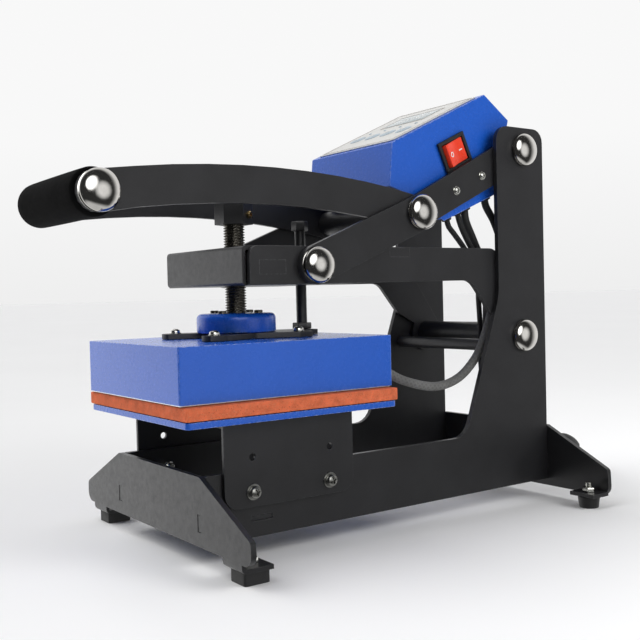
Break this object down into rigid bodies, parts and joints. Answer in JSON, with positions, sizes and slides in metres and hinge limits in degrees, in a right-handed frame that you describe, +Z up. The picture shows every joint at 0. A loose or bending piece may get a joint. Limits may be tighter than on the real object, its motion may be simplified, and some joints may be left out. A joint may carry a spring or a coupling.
{
  "type": "clamshell heat press",
  "caption": "Small bench heat press: a toggle handle lowers a heated upper platen onto a padded lower platen on a steel frame.",
  "frame": {"origin": "on the surface the press stands on, under the middle of the press without its free cord", "axes": "+Z up, +Y towards the rear, +X towards the side with the switch"},
  "size_m": [0.2592, 0.5441, 0.3457],
  "materials": {
    "black_paint": "fine textured black powder coat on steel",
    "blue_paint": "satin blue powder coat on sheet steel",
    "stainless": "polished stainless steel",
    "plain_steel": "turned steel",
    "oily_steel": "dark oiled steel thread",
    "aluminium": "machined aluminium",
    "silicone_sponge": "open-textured silicone sponge",
    "black_rubber": "matte black rubber",
    "black_plastic": "moulded black plastic",
    "red_plastic": "glossy red rocker",
    "grey_film": "printed grey membrane film",
    "grey_sleeve": "braided grey glass-fibre sleeve",
    "circuit_board": "green circuit board",
    "insulation": "off-white mineral fibre blanket"
  },
  "bodies": {
    "frame": {"side_plate_right": "black_paint", "side_plate_left": "black_paint", "front_foot_plate": "black_paint", "rear_foot_plate": "black_paint", "front_foot_pad_right": "black_rubber", "front_foot_pad_left": "black_rubber", "rear_foot_pad_right": "black_rubber", "rear_foot_pad_left": "black_rubber", "base_cross_plate": "black_paint", "handle_shaft": "plain_steel", "arm_shaft": "plain_steel", "upright_stay_bar": "black_paint", "handle_shaft_dome_right": "stainless", "handle_shaft_dome_left": "stainless", "arm_shaft_dome_right": "stainless", "arm_shaft_dome_left": "stainless", "platen_bracket": "black_paint", "lower_platen": "blue_paint", "silicone_sponge_pad": "silicone_sponge", "cord_gland": "black_plastic", "mains_cord": "black_rubber", "cord_coil": "black_rubber", "mains_plug": "black_rubber"},
    "handle": {"handle_bar_right": "black_paint", "handle_bar_left": "black_paint", "grip_sleeve": "black_rubber", "grip_rod": "plain_steel", "elbow_cross_tube": "black_paint", "grip_dome_right": "stainless", "grip_dome_left": "stainless", "control_box_shell": "blue_paint", "control_box_base": "blue_paint", "control_panel": "grey_film", "switch_bezel": "black_plastic", "controller_board": "circuit_board", "mains_lead_inside": "black_rubber", "heater_lead_swing": "black_rubber"},
    "rocker": {"switch_rocker": "red_plastic"},
    "arm": {"arm_plate_right": "black_paint", "arm_plate_left": "black_paint", "arm_pivot_sleeve": "black_paint", "arm_nose": "black_paint", "spindle_nut": "plain_steel", "heater_lead_sleeved": "grey_sleeve"},
    "link": {"toggle_link_right": "black_paint", "toggle_link_left": "black_paint", "link_shaft": "plain_steel", "link_dome_right": "stainless", "link_dome_left": "stainless", "elbow_dome_right": "stainless", "elbow_dome_left": "stainless"},
    "platen": {"platen_cover": "blue_paint", "heat_plate": "aluminium", "insulation_blanket": "insulation", "flange_plate": "black_paint", "spindle_collar": "blue_paint", "guide_pin": "black_paint"},
    "spindle": {"pressure_spindle": "oily_steel", "spindle_head": "black_paint"}
  },
  "joints": [
    {"name": "handle_swing", "type": "hinge", "parent": "frame", "child": "handle", "pos_m": [0, 0.185, 0.2998], "axis": [-1, 0, 0], "range_deg": [0, 75], "deforming": ["mains_lead_inside", "heater_lead_swing"]},
    {"name": "arm_lift", "type": "hinge", "parent": "frame", "child": "arm", "pos_m": [0, 0.182, 0.1418], "axis": [-1, 0, 0], "range_deg": [0, 33.4], "deforming": ["heater_lead_sleeved"]},
    {"name": "link_swing", "type": "hinge", "parent": "arm", "child": "link", "pos_m": [0, -0.0342, 0.2021], "axis": [-1, 0, 0], "range_deg": [-64.75, 0]},
    {"name": "platen_slide", "type": "slide", "parent": "arm", "child": "platen", "axis": [0, 0, 1], "range_m": [0, 0.008]},
    {"name": "spindle_turn", "type": "hinge", "parent": "platen", "child": "spindle", "pos_m": [0, -0.0633, 0.2], "axis": [0, 0, 1], "range_deg": [0, 1441]},
    {"name": "switch_rock", "type": "hinge", "parent": "handle", "child": "rocker", "pos_m": [0.054, 0.115, 0.2944], "axis": [0, 0.4226, -0.9063], "range_deg": [0, 16]}
  ],
  "couplings": [
    {"joint": "arm_lift", "follows": "handle_swing", "ratio": 0.44497},
    {"joint": "link_swing", "follows": "handle_swing", "ratio": -0.86293},
    {"joint": "spindle_turn", "follows": "platen_slide", "rad_per_m": 3141.6}
  ]
}
